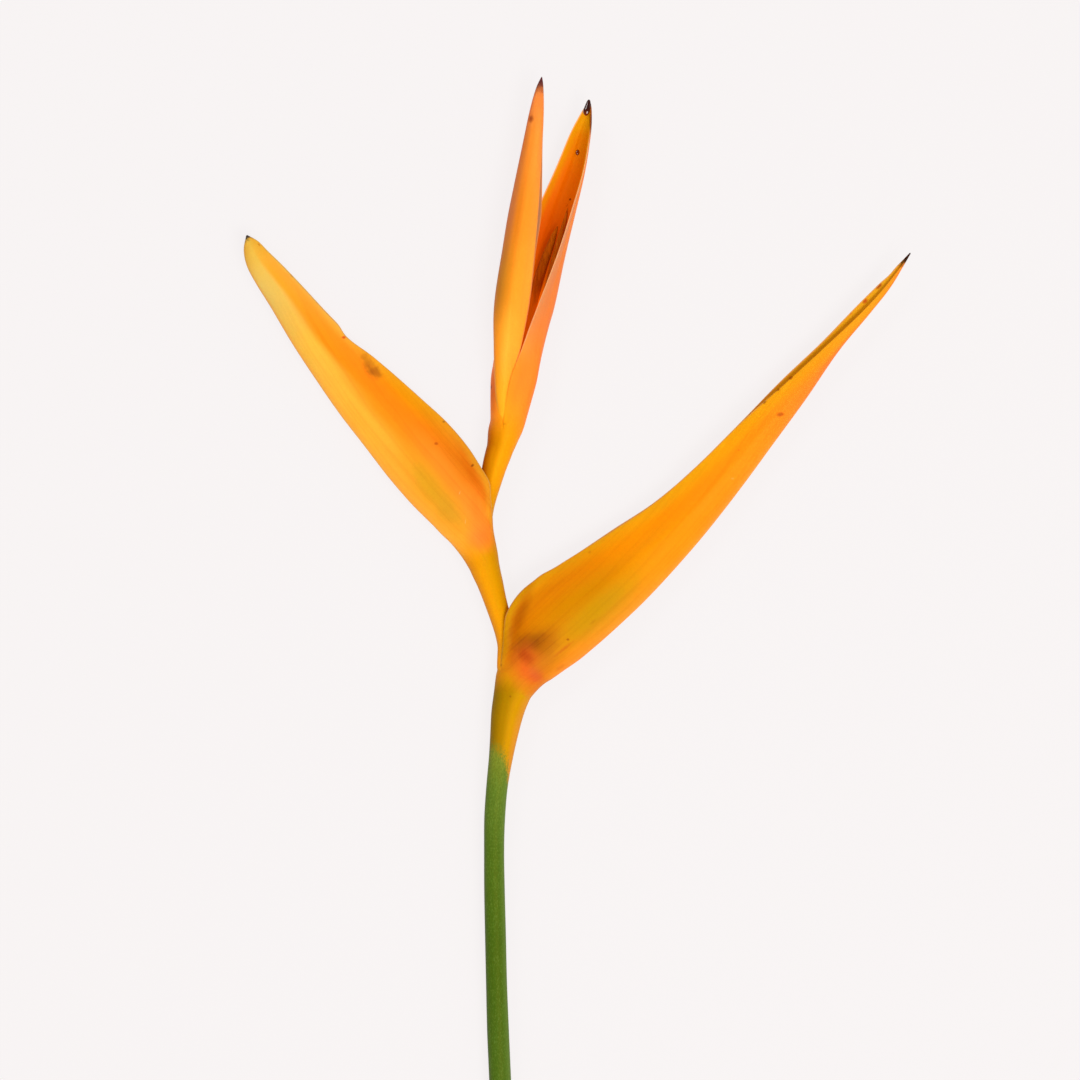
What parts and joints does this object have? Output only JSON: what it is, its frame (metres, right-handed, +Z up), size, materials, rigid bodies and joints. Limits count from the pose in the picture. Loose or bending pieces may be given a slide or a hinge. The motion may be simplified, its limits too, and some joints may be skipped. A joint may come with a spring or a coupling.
{
  "type": "heliconia flower",
  "caption": "Cut heliconia flower lying on a surface: a zigzag stem with boat-shaped orange bracts that clasp it, the upper one open over slim flower buds.",
  "frame": {"origin": "middle of the flower's box in X and Y, on the surface that it lies on", "axes": "+Y from the cut end of the stem towards the bracts' tips, +X towards the side of the lowest bract, +Z up from the surface"},
  "size_m": [0.1532, 0.2916, 0.0125],
  "materials": {
    "stem": "fresh plant stem, satin, green below and orange above the first bend",
    "bract_lowest": "waxy fresh bract, satin orange with fine parallel veins and a dark brown tip",
    "bract_second": "waxy fresh bract, satin orange with a yellow keel and fine parallel veins",
    "bract_third": "waxy fresh bract, satin orange outside and deeper orange inside, with a dark tip",
    "bract_top": "waxy fresh bract, satin yellow orange with a purple brown tip",
    "flower_bud_long": "closed bud, satin olive brown",
    "flower_bud_short": "closed bud, satin olive brown"
  },
  "bodies": {
    "root": {"stem": "stem", "bract_lowest": "bract_lowest", "bract_second": "bract_second", "bract_third": "bract_third", "bract_top": "bract_top", "flower_bud_long": "flower_bud_long", "flower_bud_short": "flower_bud_short"}
  },
  "joints": []
}
